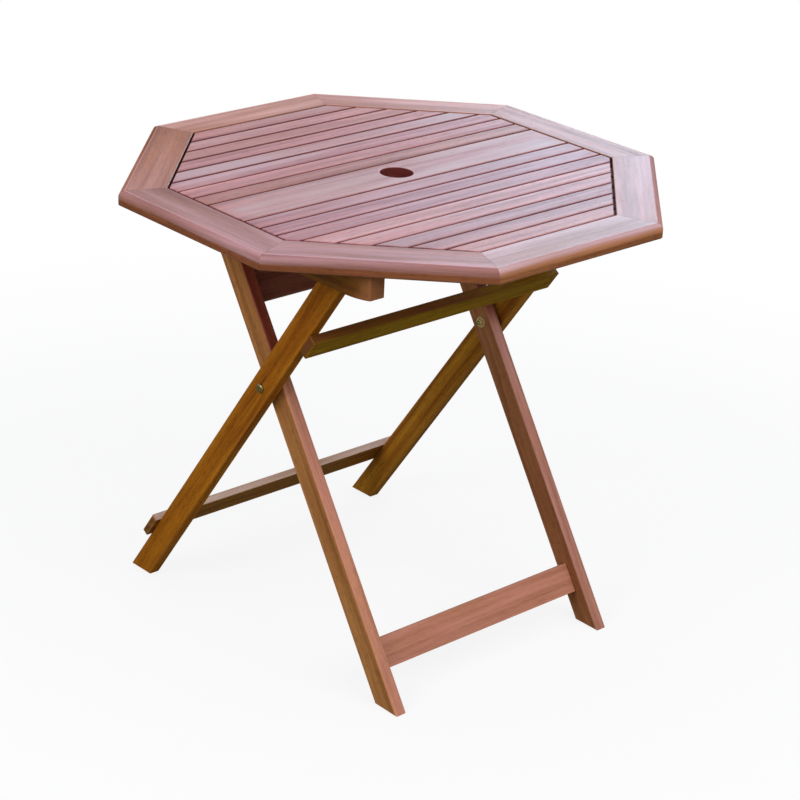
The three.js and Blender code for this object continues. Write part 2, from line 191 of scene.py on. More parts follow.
# Fasteners, in metres
BOLT_RADIUS = 0.003
BOLT_HOLE = 0.0033
THREADED = 0.014
TIP_CHAMFER = 0.0009
DOMED_HEAD = 0.004
LOW_HEAD = 0.0028
HEAD_EASE = 0.0003
NUT_ACROSS_FLATS = 0.010
NUT_HOLE_CHAMFER = (0.0006, 0.0005)
NUT_CHAMFER = math.radians(30)
WASHER_EASE = 0.0003
SCREWS_IN_STOP_RAIL = (-0.19, -0.065, 0.065, 0.19)
BATTEN_TAPER = 0.065
CLEAR_OF_PIVOT = 0.012
STRETCHER_SCREW_STEP = 0.011
PLUG_STEP = 0.009

# Stage, in metres
TOP_MIDDLE = (0, 0, 0.735)
LEGS_MIDDLE = (0, 0, 0.4)
FLOOR_RADIUS = 7
FLOOR_DROP = 0.0003
FLOOR_FADE = (0.7, 1.9)
FLOOR_WHITENED = 0.84


def joint_place(name):
    """Where a pivot of the frame is, in metres."""
    return next(Vector(j["pos_m"]) for j in frame["joints"] if j["name"] == name)


def mount_place(name):
    """Where a mount of the record is, in metres."""
    return next(Vector(m["pos_m"]) for m in frame["record"]["mounts"] if m["name"] == name)


def leg_direction(low, high):
    """Unit vector up a leg, in the plane that the legs fold in."""
    run = high - low
    return Vector((0, run.y, run.z)).normalized()


TOP_PIVOT = joint_place("top_tilt")
CROSS_PIVOT = joint_place("leg_fold")
OUTER_LEG = leg_direction(CROSS_PIVOT, TOP_PIVOT)
INNER_LEG = leg_direction(mount_place("inner_foot_left"), CROSS_PIVOT)


# Sizes and colours


def colour(name, description, default):
    """A colour property, in linear light."""
    return bpy.props.FloatVectorProperty(
        name=name, description=description, default=default, size=3, min=0, max=1, subtype="COLOR"
    )


def streaks(kind, wood, default):
    """The tone of a wood's pale or dark streaks."""
    return colour(f"{kind} {wood}", f"{kind} streaks of the {wood}", default)


def share(name, description, default):
    """A property between nought and one."""
    return bpy.props.FloatProperty(
        name=name, description=description, default=default, min=0, max=1, subtype="FACTOR"
    )


def length(name, description, default):
    """A length property, in metres."""
    return bpy.props.FloatProperty(
        name=name, description=description, default=default, min=0, precision=5, unit="LENGTH"
    )


def power(name, description, default):
    """A lamp's power, in watts."""
    return bpy.props.FloatProperty(name=name, description=description, default=default, min=0, unit="POWER")


def angle(name, description, degrees):
    """An angle property."""
    return bpy.props.FloatProperty(
        name=name, description=description, default=math.radians(degrees), unit="ROTATION"
    )


def seed(name, description, default):
    """A seed for what is left to chance."""
    return bpy.props.IntProperty(name=name, description=description, default=default, min=0)


class TableWoodFinish(bpy.types.PropertyGroup):
    """Tones and wear of the hardwood boards"""

    slat_pale: streaks("Pale", "slats", (0.64, 0.255, 0.24))
    slat_dark: streaks("Dark", "slats", (0.31, 0.085, 0.085))
    rim_pale: streaks("Pale", "rim", (0.34, 0.113, 0.040))
    rim_dark: streaks("Dark", "rim", (0.18, 0.048, 0.016))
    frame_pale: streaks("Pale", "outer frame", (0.43, 0.158, 0.011))
    frame_dark: streaks("Dark", "outer frame", (0.225, 0.064, 0.0055))
    # The crossbar's greener tones carry a painted green cast of light bounced up from below
    crossbar_pale: streaks("Pale", "crossbar", (0.48, 0.262, 0.008))
    crossbar_dark: streaks("Dark", "crossbar", (0.25, 0.114, 0.004))
    # Painted shade on the crossbar's upper face, under the top
    crossbar_top: colour("Crossbar top", "Tone of the crossbar's dirty upper face", (0.22, 0.06, 0.022))
    inner_pale: streaks("Pale", "inner frame", (0.50, 0.21, 0.075))
    inner_dark: streaks("Dark", "inner frame", (0.28, 0.10, 0.03))
    beech_pale: streaks("Pale", "biscuits", (0.72, 0.52, 0.31))
    beech_dark: streaks("Dark", "biscuits", (0.56, 0.37, 0.20))
    # Painted sunlight on the shoulder of the front rim board
    rim_sunlit: colour("Sunlit rim", "Tone of the rim's shoulder on the sunny side", (0.62, 0.25, 0.11))
    # Weathered tones: bleached wood, and a painted sheen of sky light on upward faces; the stretcher's and inner
    # legs' carry the most painted sheen
    slat_weathered: colour("Weathered slats", "Tone that the slats bleach to", (0.57, 0.37, 0.39))
    rim_weathered: colour("Weathered rim", "Tone that the rim bleaches to", (0.54, 0.293, 0.293))
    frame_weathered: colour("Weathered frames", "Tone that the frames bleach to", (0.64, 0.25, 0.19))
    inner_weathered: colour("Weathered inner legs", "Tone that the inner legs bleach to", (0.76, 0.38, 0.315))
    stretcher_weathered: colour("Weathered stretcher", "Tone that it bleaches to", (0.80, 0.56, 0.44))
    # Bleaching of upward faces: part weathering, part painted sheen
    weathering: share("Weathering", "How far upward faces have bleached", 0.75)
    contrast: share("Grain contrast", "How strongly pale and dark grain differ", 0.85)
    edge_wear: share("Edge wear", "How far the oil has worn off the arrises", 0.35)
    spread: share("Board spread", "How much boards differ by chance in tone", 0.06)
    seed: seed("Seed", "Chooses the boards' grain", 11)


class TableFastenerSizes(bpy.types.PropertyGroup):
    """Sizes and tones of bolts, screws and plugs"""

    thread_pitch: length("Thread pitch", "Distance between the bolt threads", 0.001)
    thread_depth: length("Thread depth", "Depth of the bolt threads", 0.00055)
    head_edge: length("Bolt head edge", "Height of the rim of the domed bolt head", 0.0007)
    screw_diameter: length("Screw head diameter", "Diameter of the wood screws' heads", 0.0078)
    screw_height: length("Screw head height", "Height of the wood screws' heads", 0.0022)
    plug_diameter: length("Plug diameter", "Diameter of the wooden plugs", 0.010)
    plug_height: length("Plug height", "How far the plugs stand proud", 0.0004)
    plating: colour("Plating", "Tone of the clean zinc plating on bolts and screws", (0.36, 0.29, 0.12))
    nut_plating: colour("Nut plating", "Tone of the clean zinc plating on the nuts", (0.72, 0.66, 0.27))
    tarnish: colour("Tarnish", "Tone of the tarnished plating", (0.10, 0.09, 0.025))
    dull_plating: colour("Dull plating", "Tone of the dull zinc on the washers", (0.75, 0.53, 0.26))
    seed: seed("Seed", "Turns the screws' slots", 4)


class TableStageSettings(bpy.types.PropertyGroup):
    """Floor, lights and camera"""

    floor_tone: colour("Floor", "Tone of the floor", (0.9, 0.9, 0.9))
    bounce_tone: colour("Floor bounce", "Tone in which the floor lights the table", (0.24, 0.25, 0.14))
    sky_tone: colour("Dome", "Tone of the light from all round", (0.52, 0.55, 0.62))
    key_power: power("Key light", "Power of the large softbox at the front", 48)
    top_power: power("Top light", "Power of the softbox overhead", 5)
    side_power: power("Side light", "Power of the softbox on the left", 36)
    sheen_power: power("Sheen light", "Power of the softbox that the top mirrors", 66)
    camera_place: bpy.props.FloatVectorProperty(
        name="Camera place", description="Where the camera stands", size=3,
        default=(-2.3119, -2.5313, 1.8643), subtype="XYZ", unit="LENGTH",
    )
    azimuth: angle("Azimuth", "Which side the camera looks from", -42.772)
    elevation: angle("Elevation", "How far the camera looks down", 23.754)
    roll: angle("Roll", "How far the camera leans", 2.744)
    focal_length: bpy.props.FloatProperty(
        name="Focal length", description="Focal length on a 36 mm sensor", default=105.88, min=1, unit="CAMERA"
    )


# Node trees


class Graph:
    """Adds and joins the nodes of one tree, column by column."""

    def __init__(self, tree):
        self.tree = tree
        self.count = 0

    def feed(self, socket, value):
        """Joins a socket to another one, or sets its value."""
        if isinstance(value, bpy.types.NodeSocket):
            self.tree.links.new(value, socket)
        elif value is not None:
            socket.default_value = value

    def add(self, kind, sockets=None, **settings):
        """Adds a node with its settings and sockets."""
        node = self.tree.nodes.new(kind)
        node.location = (220 * (self.count // 5), -280 * (self.count % 5))
        self.count += 1
        for name, value in settings.items():
            setattr(node, name, value)
        for key, value in (sockets or {}).items():
            self.feed(node.inputs[key], value)
        return node

    def math(self, operation, first, second=None, clamp=False):
        node = self.add("ShaderNodeMath", {0: first, 1: second}, operation=operation, use_clamp=clamp)
        return node.outputs[0]

    def plus(self, first, second, clamp=False):
        return self.math("ADD", first, second, clamp)

    def minus(self, first, second):
        return self.math("SUBTRACT", first, second)

    def times(self, first, second, clamp=False):
        return self.math("MULTIPLY", first, second, clamp)

    def size(self, value):
        return self.math("ABSOLUTE", value)

    def less(self, value, part):
        """One less a part of a value."""
        return self.minus(1.0, self.times(value, part))

    def total(self, start, *terms, clamp=False):
        """Adds parts of further values to a first one."""
        for value, part in terms[:-1]:
            start = self.plus(start, self.times(value, part))
        return self.plus(start, self.times(*terms[-1]), clamp)

    def vector(self, operation, first, second=None):
        node = self.add("ShaderNodeVectorMath", {0: first, 1: second}, operation=operation)
        return node.outputs["Value" if operation in ("LENGTH", "DOT_PRODUCT") else "Vector"]

    def parts(self, vector):
        """The three parts of a vector."""
        return self.add("ShaderNodeSeparateXYZ", {0: vector}).outputs

    def noise(self, place, scales, detail=2.0, roughness=0.5):
        """Noise stretched by a scale per axis, from nought to one."""
        stretched = self.vector("MULTIPLY", place, scales)
        sockets = {"Vector": stretched, "Scale": 1.0, "Detail": detail, "Roughness": roughness}
        return self.add("ShaderNodeTexNoise", sockets).outputs[0]

    def span(self, value, low, high, to_low=0.0, to_high=1.0):
        """A smooth step between two values."""
        sockets = {"Value": value, "From Min": low, "From Max": high, "To Min": to_low, "To Max": to_high}
        return self.add("ShaderNodeMapRange", sockets, interpolation_type="SMOOTHSTEP").outputs[0]

    def blend(self, factor, first, second, kind="MIX"):
        """Mixes two colours."""
        node = self.add("ShaderNodeMix", {0: factor, 6: first, 7: second}, data_type="RGBA", blend_type=kind)
        return node.outputs[2]

    def tinted(self, tone, cast):
        """A colour times another."""
        return self.blend(1.0, tone, cast, "MULTIPLY")

    def shaded(self, tone, amount):
        """A colour times a grey of that amount."""
        grey = self.add("ShaderNodeCombineColor", {0: amount, 1: amount, 2: amount}).outputs[0]
        return self.tinted(tone, grey)

    def surface(self, tone, rough, height, more):
        """Ends a material in a surface with that relief, in metres."""
        bump = self.add("ShaderNodeBump", {"Strength": 1.0, "Distance": 1.0, "Height": height}).outputs[0]
        sockets = {"Base Color": tone, "Roughness": rough, "Normal": bump, **more}
        self.add("ShaderNodeOutputMaterial", {0: self.add("ShaderNodeBsdfPrincipled", sockets).outputs[0]})

    def mix(self, factor, first, second):
        """Mixes two shaders."""
        return self.add("ShaderNodeMixShader", {0: factor, 1: first, 2: second}).outputs[0]


def rgba(tone):
    return (*tone, 1.0)


def named_tree(name, kind, inputs, outputs):
    """A new node group with sockets named by type, its graph and its inputs."""
    tree = bpy.data.node_groups.new(name, kind)
    for direction, rows in (("INPUT", inputs), ("OUTPUT", outputs)):
        for socket_kind, *labels in rows:
            for label in labels:
                tree.interface.new_socket(label, in_out=direction, socket_type=f"NodeSocket{socket_kind}")
    g = Graph(tree)
    return tree, g, g.add("NodeGroupInput").outputs


def hardwood_group():
    """Oiled hardwood cut from a log: rings round a pith, streaks, fibres, pores, checks and worn edges."""
    known = bpy.data.node_groups.get("Oiled hardwood")
    if known:
        return known
    tree, g, given = named_tree("Oiled hardwood", "ShaderNodeTree", (
        ("Vector", "Position", "Offset", "Pith", "Half Size"),
        ("Color", "Pale Grain", "Dark Grain", "Weathered Tone"),
        ("Float", "Contrast", "Weathering", "End Grain", "Grime", "Edge Wear"),
    ), (("Color", "Color"), ("Float", "Roughness", "Height")))
    place = g.vector("ADD", given["Position"], given["Offset"])

    # Growth bands lie round the pith and sway along the board
    sway = g.noise(place, (1.8, 9, 9), 2)
    from_pith = g.vector("SUBTRACT", given["Position"], given["Pith"])
    radius = g.vector("LENGTH", g.vector("MULTIPLY", from_pith, (0, 1, 1)))
    swayed = g.total(radius, (sway, 0.03))
    ring_place = g.add("ShaderNodeCombineXYZ", {0: swayed, 1: g.parts(place)[0]}).outputs[0]
    ring_place = g.vector("ADD", ring_place, given["Offset"])
    bands = g.noise(ring_place, (170, 1.1, 1), 3, 0.55)
    rings = g.noise(ring_place, (620, 2.5, 1), 1, 0.5)

    streaks = g.noise(place, (2.6, 62, 62), 4, 0.6)
    fibres = g.noise(place, (24, 850, 850), 2, 0.6)
    mottle = g.noise(place, (5, 10, 10), 2)
    pores = g.span(g.noise(place, (70, 1500, 1500), 0), 0.62, 0.72)
    wander = g.noise(place, (3, 240, 240), 1)
    near_check = g.span(g.size(g.minus(wander, 0.5)), 0.0, 0.006, 1.0, 0.0)
    checks = g.times(near_check, g.span(g.noise(place, (7, 30, 30), 1), 0.6, 0.68))

    mixed = g.total(g.times(bands, 0.42), (streaks, 0.40), (mottle, 0.18))
    reach = g.math("DIVIDE", 0.09, given["Contrast"])
    grain = g.add("ShaderNodeMapRange", {
        "Value": mixed, "From Min": g.minus(0.5, reach), "From Max": g.plus(0.5, reach),
    }).outputs[0]
    tone = g.blend(grain, given["Dark Grain"], given["Pale Grain"])

    # Fine lines darken the tone without changing its hue much
    shade = g.times(g.span(fibres, 0.3, 0.7, 0.9, 1.08), g.span(rings, 0.35, 0.65, 0.95, 1.05))
    for flaw, depth in ((pores, 0.4), (checks, 0.6), (given["End Grain"], 0.3)):
        shade = g.times(shade, g.less(flaw, depth))
    tone = g.shaded(tone, shade)

    # Upward faces bleach along the raised grain: weathering, and a painted sheen of sky light
    patches = g.span(g.noise(place, (2.4, 26, 26), 3, 0.55), 0.32, 0.66, 0.4, 1.15)
    raised = g.times(patches, g.span(streaks, 0.3, 0.62, 0.5, 1.0))
    bleach = g.times(given["Weathering"], raised, clamp=True)
    tone = g.blend(bleach, tone, given["Weathered Tone"])

    # Arrises are where two of the board's three distances to its faces are small
    inside = g.vector("SUBTRACT", given["Half Size"], g.vector("ABSOLUTE", given["Position"]))
    gaps = g.parts(inside)
    nearer = g.math("MINIMUM", gaps[0], gaps[1])
    further = g.math("MAXIMUM", gaps[0], gaps[1])
    to_edge = g.math("MAXIMUM", nearer, g.math("MINIMUM", further, gaps[2]))
    ragged = g.times(g.noise(place, (35, 160, 160), 3), 0.006)
    at_edge = g.span(g.minus(to_edge, ragged), -0.0035, 0.001, 1.0, 0.0)
    wear = g.times(at_edge, given["Edge Wear"], clamp=True)
    worn = g.blend(0.5, given["Pale Grain"], given["Weathered Tone"])
    tone = g.blend(wear, tone, worn)
    # Gap walls and recesses darken towards the dark grain: dirt and painted shade
    tone = g.blend(given["Grime"], tone, g.tinted(given["Dark Grain"], GAP_DIRT_SHADE_TONE))

    rough = g.total(
        0.40, (streaks, 0.12), (pores, 0.15), (given["End Grain"], 0.2), (wear, 0.15), clamp=True
    )
    height = g.total(g.times(fibres, 0.00006), (bands, 0.00025), (pores, -0.00008), (checks, -0.0003))
    g.add("NodeGroupOutput", {"Color": tone, "Roughness": rough, "Height": height})
    return tree


def empty_material(name):
    """A new material with no nodes, and its graph."""
    material = bpy.data.materials.new(name)
    material.use_nodes = True
    material.node_tree.nodes.clear()
    return material, Graph(material.node_tree)


def nudged(tone, level, grey, cut):
    """A board's own version of a tone: lighter or darker, redder or greyer, warmer or cooler, and more or less olive
    from a painted green bounce light.
    """
    mean = sum(tone) / 3
    casts = (1.0, 1 - 0.03 * cut.warmth + 0.22 * cut.olive_bounce, 1 - 0.22 * cut.warmth - 0.2 * cut.olive_bounce)
    return [min(1.0, level * cast * (part * (1 - grey) + mean * grey)) for part, cast in zip(tone, casts)]


class Board:
    """One board of the frame: its middle, its turn and its half sizes, with x along the grain."""

    def __init__(self, node, grain, face):
        across = face.cross(grain).normalized()
        self.grain = grain.normalized()
        self.turn = Matrix((self.grain, across, face.normalized())).transposed()
        corners = np.array([v.co for v in frame["nodes"][node].data.vertices])
        local = corners @ np.array(self.turn)
        low, high = local.min(0), local.max(0)
        self.centre = self.turn @ Vector((low + high) / 2)
        self.half = Vector((high - low) / 2)


def board_material(node, board, tones, rng, finish, look):
    """Hardwood laid along one board, with its own grain, its own share of the weathering and painted sheen, and its
    painted light and shade.
    """
    material, g = empty_material(f"{node}_wood")
    found = g.add("ShaderNodeTexCoord").outputs
    local = g.add("ShaderNodeMapping", {
        "Vector": found["Object"], "Location": board.centre, "Rotation": board.turn.to_euler(),
    }, vector_type="TEXTURE").outputs[0]
    cut = CUTS.get(node, Cut())
    level = cut.level * (1 + rng.uniform(-1, 1) * finish.spread)
    grey = rng.uniform(0, 0.5) * finish.spread
    bleached = min(1.0, cut.bleached * finish.weathering)
    end = g.span(g.size(g.vector("DOT_PRODUCT", found["Normal"], board.grain)), 0.75, 0.95)
    rise = g.vector("DOT_PRODUCT", found["Normal"], UP)
    world_x, _, height = g.parts(found["Object"])
    along, across, above = g.parts(local)
    from_end = g.minus(board.half.x, g.size(along))
    below_top = g.minus(board.half.z, above)

    # Where the board is bleached, where dirt and painted shade darken its gaps, and where its arris is worn and
    # carries a painted highlight
    wear_and_highlight = None
    if look.edge_width:
        from_outside = g.plus(across, board.half.y)
        outside = g.span(from_outside, look.edge_width, look.edge_width + 0.0012, 1.0, 0.0)
        shoulder = SHOULDERS.get(node, Shoulder())
        upward = g.times(rim_bleaching(g, local, rise, below_top, outside, shoulder), bleached)
        # The rim's inner wall by the slats darkens: dirt and painted shade
        wall = g.span(from_outside, *[2 * board.half.y - depth for depth in BOARD_WALL])
        dirty_and_shaded = g.times(g.times(wall, g.span(rise, 0.3, 0.9, 1.0, 0.0)), look.grime)
        # Painted highlight along the rim's upper arris, where its bead catches the light
        off_arris = g.size(g.minus(from_outside, look.edge_width + 0.0003))
        wear_and_highlight = g.times(
            g.span(off_arris, 0.0005, 0.0012, 1.0, 0.0), g.span(rise, -0.2, 0.5, 0.0, 0.8 * shoulder.wear_and_highlight)
        )
    else:
        upward = g.span(rise, look.bleach_from, look.bleach_to, 0.0, bleached)
        dirty_and_shaded = g.span(g.size(rise), 0.25, 0.78, look.grime, 0.0)
    # Less bleaching under the top: shelter from the weather, and painted shade
    if look.sheltered:
        upward = g.times(upward, g.span(height, *SHELTER_AND_SHADE, 1.0, 0.05))
    if look.dull_ends:
        upward = g.times(upward, g.span(from_end, 0.0, look.dull_ends, 0.45, 1.0))
        # The slat's lower step darkens too: dirt and painted shade
        sunk = g.span(above, *[board.half.z - depth for depth in SLAT_STEP], look.grime, 0.0)
        dirty_and_shaded = g.math("MAXIMUM", dirty_and_shaded, g.times(sunk, g.span(rise, 0.3, 0.6)))
    if node == "centre_slat":
        from_hole = g.vector("LENGTH", g.vector("MULTIPLY", found["Object"], (1, 1, 0)))
        mouth = hole_mouth()
        wear_and_highlight = g.times(g.span(from_hole, mouth, mouth + HOLE_RUB, 0.55, 0.0), g.span(rise, 0.5, 0.9))
    if cut.tilt:
        upward = g.times(upward, g.total(1.0, (g.math("DIVIDE", along, board.half.x), cut.tilt)))
    # The crossbar's painted shade on its upper face fades near its right end
    if look.dirty_end:
        upward = g.times(upward, g.span(world_x, *TOP_SHADE_FADE, 1.0, 0.15))

    pale, dark, weathered = [rgba(nudged(tone, level, grey, cut)) for tone in tones]
    weathered = (weathered[0], weathered[1] * (1 - REDDENING * cut.blush), *weathered[2:])
    wood = g.add("ShaderNodeGroup", {
        "Position": local,
        "Offset": [rng.uniform(0, 20) for _ in range(3)],
        "Pith": (0, rng.uniform(-0.09, 0.09), rng.choice((-1, 1)) * rng.uniform(0.03, 0.11)),
        "Half Size": board.half if look.square_ends else Vector((ANY_LENGTH, board.half.y, board.half.z)),
        "Pale Grain": pale,
        "Dark Grain": dark,
        "Weathered Tone": weathered,
        "Contrast": finish.contrast,
        "Weathering": upward,
        "End Grain": end,
        "Grime": dirty_and_shaded,
        "Edge Wear": finish.edge_wear * look.wear,
    }, node_tree=hardwood_group()).outputs
    tone = wood["Color"]

    # Painted shade, painted sunlight and painted highlights over the grain, with end tones, pale blotches and worn
    # places
    # Painted shade: upward faces under the top take a dark maroon tint
    if look.stained:
        under_top = g.times(g.span(height, *SHADE_UNDER_TOP_HEIGHTS), g.span(rise, 0.2, 0.5, 0.0, look.stained))
        tone = g.blend(under_top, tone, g.tinted(tone, SHADE_UNDER_TOP_TINT))
    if look.end_tone:
        tone = g.blend(end, tone, rgba(look.end_tone))
    if look.pale_ends:
        blotched = g.total(from_end, (g.noise(local, (40, 90, 90), 3), 0.05))
        near_end = g.span(blotched, 0.02, look.pale_ends, 0.75, 0.0)
        tone = g.blend(near_end, tone, g.blend(0.35, pale, weathered))
    # Painted sunlight on the front rim board's shoulder
    if node == "rim_front":
        tone = g.blend(sunlit_band(g, local, below_top), tone, rgba(finish.rim_sunlit))
    # Painted shade darkens the rim's outer edge
    if look.edge_width:
        tone = g.shaded(tone, g.less(outside, 1 - shoulder.shade))
    # Painted highlight on the rim's arris, and a worn pale ring round the umbrella hole
    if wear_and_highlight:
        tone = g.blend(wear_and_highlight, tone, g.tinted(weathered, rgba([WEAR_AND_HIGHLIGHT_GAIN] * 3)))

    shine, rough = look.gloss, wood["Roughness"]
    if look.grime:
        shine = g.times(g.minus(1.0, dirty_and_shaded), shine)
    if look.edge_width:
        shine = g.times(g.less(outside, 0.7), shine)
        rough = g.total(rough, (outside, 0.3), clamp=True)
    g.surface(tone, rough, wood["Height"], {"Specular IOR Level": shine})
    return material


def hole_mouth():
    """How far the umbrella hole's chamfer reaches from the middle of the top."""
    corners = np.array([v.co for v in frame["nodes"]["centre_slat"].data.vertices])
    reach = np.hypot(corners[:, 0], corners[:, 1])
    on_top = corners[:, 2] > corners[:, 2].max() - 1e-5
    return float(reach[on_top].min())


def rim_bleaching(g, local, rise, below_top, outside, shoulder):
    """Where a rim board is bleached, by weathering and a painted sheen: its flat top, and its rounded edge down to a
    ragged line.
    """
    ragged = g.total(below_top, (g.noise(local, (12, 160, 160), 2), 0.003))
    ends = (SHOULDER_DEPTH - shoulder.fade, SHOULDER_DEPTH + 0.0015)
    edge = g.times(outside, g.span(ragged, *ends, shoulder.bleached, 0.0))
    flat = g.times(g.minus(1.0, outside), g.span(rise, 0.8, 0.97))
    return g.math("MAXIMUM", flat, edge)


def sunlit_band(g, local, below_top):
    """A blotchy band of painted sunlight along the rim's shoulder."""
    depth = g.total(below_top, (g.noise(local, (14, 90, 90), 3), 0.004))
    band = g.times(g.span(depth, 0.004, 0.0095), g.span(depth, 0.0125, 0.0165, 0.55, 0.0))
    return g.times(band, g.span(g.noise(local, (7, 20, 20), 2), 0.35, 0.6, 0.55, 1.1))


def finish_boards(boards, wood, seed, weathered=None, **looks):
    """Gives each named node, with its grain and face directions, its own cut of a wood."""
    finish = bpy.context.scene.table_wood
    tones = [getattr(finish, name) for name in (f"{wood}_pale", f"{wood}_dark", weathered or f"{wood}_weathered")]
    rng = random.Random(finish.seed * 100 + seed)
    for node, (grain, face) in boards.items():
        material = board_material(node, Board(node, grain, face), tones, rng, finish, Look(**looks))
        for place in frame["nodes"][node].material_slots:
            place.material = material


def plating_material(kind="plating"):
    """Zinc plating with a yellow cast, tarnished in patches and finely scratched."""
    known = bpy.data.materials.get(kind)
    if known:
        return known
    sizes = bpy.context.scene.table_fasteners
    metal = METALS[kind]
    material, g = empty_material(kind)
    place = g.add("ShaderNodeTexCoord").outputs["Object"]
    patches = g.noise(place, (260, 260, 260), 4, 0.6)
    specks = g.span(g.noise(place, (1400, 1400, 1400), 2), 0.6, 0.7)
    scratches = g.noise(place, (300, 5200, 900), 1)
    dirty = g.total(g.span(patches, 0.4, 0.68, 0.0, 0.75), (specks, 0.25), clamp=True)
    tone = g.blend(g.times(dirty, metal.tarnished), rgba(getattr(sizes, kind)), rgba(sizes.tarnish))
    rough = g.span(patches, 0.35, 0.7, metal.smoothest, metal.roughest)
    rough = g.plus(rough, g.span(scratches, 0.4, 0.6, 0.0, 0.06))
    height = g.times(g.plus(scratches, patches), 0.00001)
    g.surface(tone, rough, height, {"Metallic": metal.metallic})
    return material


def plug_material():
    """Short-grained wood of the plugs, a little darker than the rail."""
    finish = bpy.context.scene.table_wood
    material, g = empty_material("plug_wood")
    place = g.add("ShaderNodeTexCoord").outputs["Object"]
    grain = g.span(g.noise(place, (60, 900, 500), 4, 0.6), 0.3, 0.7)
    tone = g.blend(grain, rgba([part * 0.6 for part in finish.frame_dark]), rgba(finish.frame_pale))
    g.surface(tone, g.span(grain, 0.0, 1.0, 0.5, 0.62), g.times(grain, 0.00008), {"Specular IOR Level": 0.25})
    return material


# Meshes


def new_object(name, data):
    """A new object in the scene."""
    made = bpy.data.objects.new(name, data)
    bpy.context.scene.collection.objects.link(made)
    return made


def finished_object(name, mesh, material, body, crease=35):
    """Puts a mesh that is already in place into the scene, riding on its body."""
    shape = bmesh.new()
    shape.from_mesh(mesh)
    bmesh.ops.remove_doubles(shape, verts=shape.verts, dist=1e-6)
    bmesh.ops.recalc_face_normals(shape, faces=shape.faces)
    shape.to_mesh(mesh)
    shape.free()
    mesh.shade_smooth()
    mesh.set_sharp_from_angle(angle=math.radians(crease))
    mesh.materials.clear()
    mesh.materials.append(material)
    made = new_object(name, mesh)
    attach(made, body)
    return made


def rings_to_mesh(name, rings, closed):
    """Joins rings of points into a skin. A closed one joins its last ring to its first."""
    count = len(rings[0])
    points = [point for ring in rings for point in ring]
    faces = []
    last = len(rings) if closed else len(rings) - 1
    for i in range(last):
        here, there = i * count, (i + 1) % len(rings) * count
        for j in range(count):
            k = (j + 1) % count
            faces.append((here + j, here + k, there + k, there + j))
    if not closed:
        faces.append(tuple(range(count - 1, -1, -1)))
        faces.append(tuple(range((len(rings) - 1) * count, len(rings) * count)))
    mesh = bpy.data.meshes.new(name)
    mesh.from_pydata(points, [], faces)
    return mesh


def turned_piece(node, rings, body, metal, crease, closed):
    """Shows a turned piece of plated steel in place of a node."""
    mesh = rings_to_mesh(node + "_turned", rings, closed)
    made = finished_object(node + "_turned", mesh, plating_material(metal), body, crease)
    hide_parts(node)


def turned_rings(profile, axis, side, segments=56, pitch=None):
    """Rings about a line along X. Each step of the profile has a distance along it, a radius and a thread depth."""
    rings = []
    for along, radius, depth in profile:
        ring = []
        for j in range(segments):
            around = math.tau * j / segments
            turn = (along / pitch - j / segments) % 1 if pitch else 0
            here = radius - depth * (1 - abs(2 * turn - 1))
            ring.append((side * along, axis.y + here * math.cos(around), axis.z + here * math.sin(around)))
        rings.append(ring)
    return rings


def bolt_profile(tip, head_face, head, sizes):
    """Chamfered tip, thread, plain shank and head, from the tip outwards."""
    inner = BOLT_RADIUS - TIP_CHAMFER
    steps = [(tip, inner, 0)]
    count = round(THREADED / sizes.thread_pitch * 8)
    for i in range(count + 1):
        along = i / count * THREADED
        ease = max(0.0, min(1.0, along / 0.0012, (THREADED - along) / 0.001))
        steps.append((tip + along, min(BOLT_RADIUS, inner + along), sizes.thread_depth * ease))
    steps.append((head_face, BOLT_RADIUS, 0))
    return steps + [(head_face + along, reach, 0) for along, reach in head]


def domed_head(radius, height, edge):
    """A domed head with a narrow rounded rim."""
    steps = [(0, radius - HEAD_EASE), (HEAD_EASE, radius), (edge, radius)]
    for i in range(1, 15):
        rise = math.pi / 2 * i / 15
        steps.append((edge + (height - edge) * math.sin(rise), radius * math.cos(rise) ** 0.9))
    return steps + [(height, radius * 0.02)]


def low_head(radius, height):
    """A low cone head with a shallow middle, as on furniture connector bolts."""
    outline = (
        (0.45, 1), (0.8, 0.9), (0.97, 0.75), (1, 0.62), (1, 0.36), (0.5, 0.3), (0.45, 0.05),
    )
    return [(0, radius - HEAD_EASE), (HEAD_EASE, radius)] + [(height * a, radius * b) for a, b in outline]


def hex_nut_rings(low, high, axis, side, turn):
    """A hexagonal nut with turned chamfers, as a loop of rings about its hole."""
    half = NUT_ACROSS_FLATS / 2
    middle, depth = (low + high) / 2, (high - low) / 2
    face = half * 0.93
    widening, sinking = NUT_HOLE_CHAMFER
    segments = 72
    sections = []
    for j in range(segments):
        around = math.tau * j / segments
        outline = half / math.cos((around + math.pi / 6) % (math.pi / 3) - math.pi / 6)
        upper = [(BOLT_HOLE, depth - sinking), (BOLT_HOLE + widening, depth)]
        for part in (0, 0.5, 1):
            bevel = (outline - face) * part
            upper.append((face + bevel, depth - bevel * math.tan(NUT_CHAMFER)))
        lower = [(radius, -along) for radius, along in reversed(upper)]
        section = [lower.pop(), *upper, (outline, 0), *lower]
        cos, sin = math.cos(around + turn), math.sin(around + turn)
        sections.append([
            (side * (middle + along), axis.y + radius * cos, axis.z + radius * sin) for radius, along in section
        ])
    return list(zip(*sections))


def span_along_x(node, side):
    """A node's nearest and furthest distance from the middle, on its own side."""
    low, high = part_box(node)
    return sorted((side * low.x, side * high.x))


def radius_of(node):
    """Half a round node's width across its axis."""
    low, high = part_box(node)
    return (high.y - low.y) / 2


# Screws and plugs, set out by Geometry Nodes


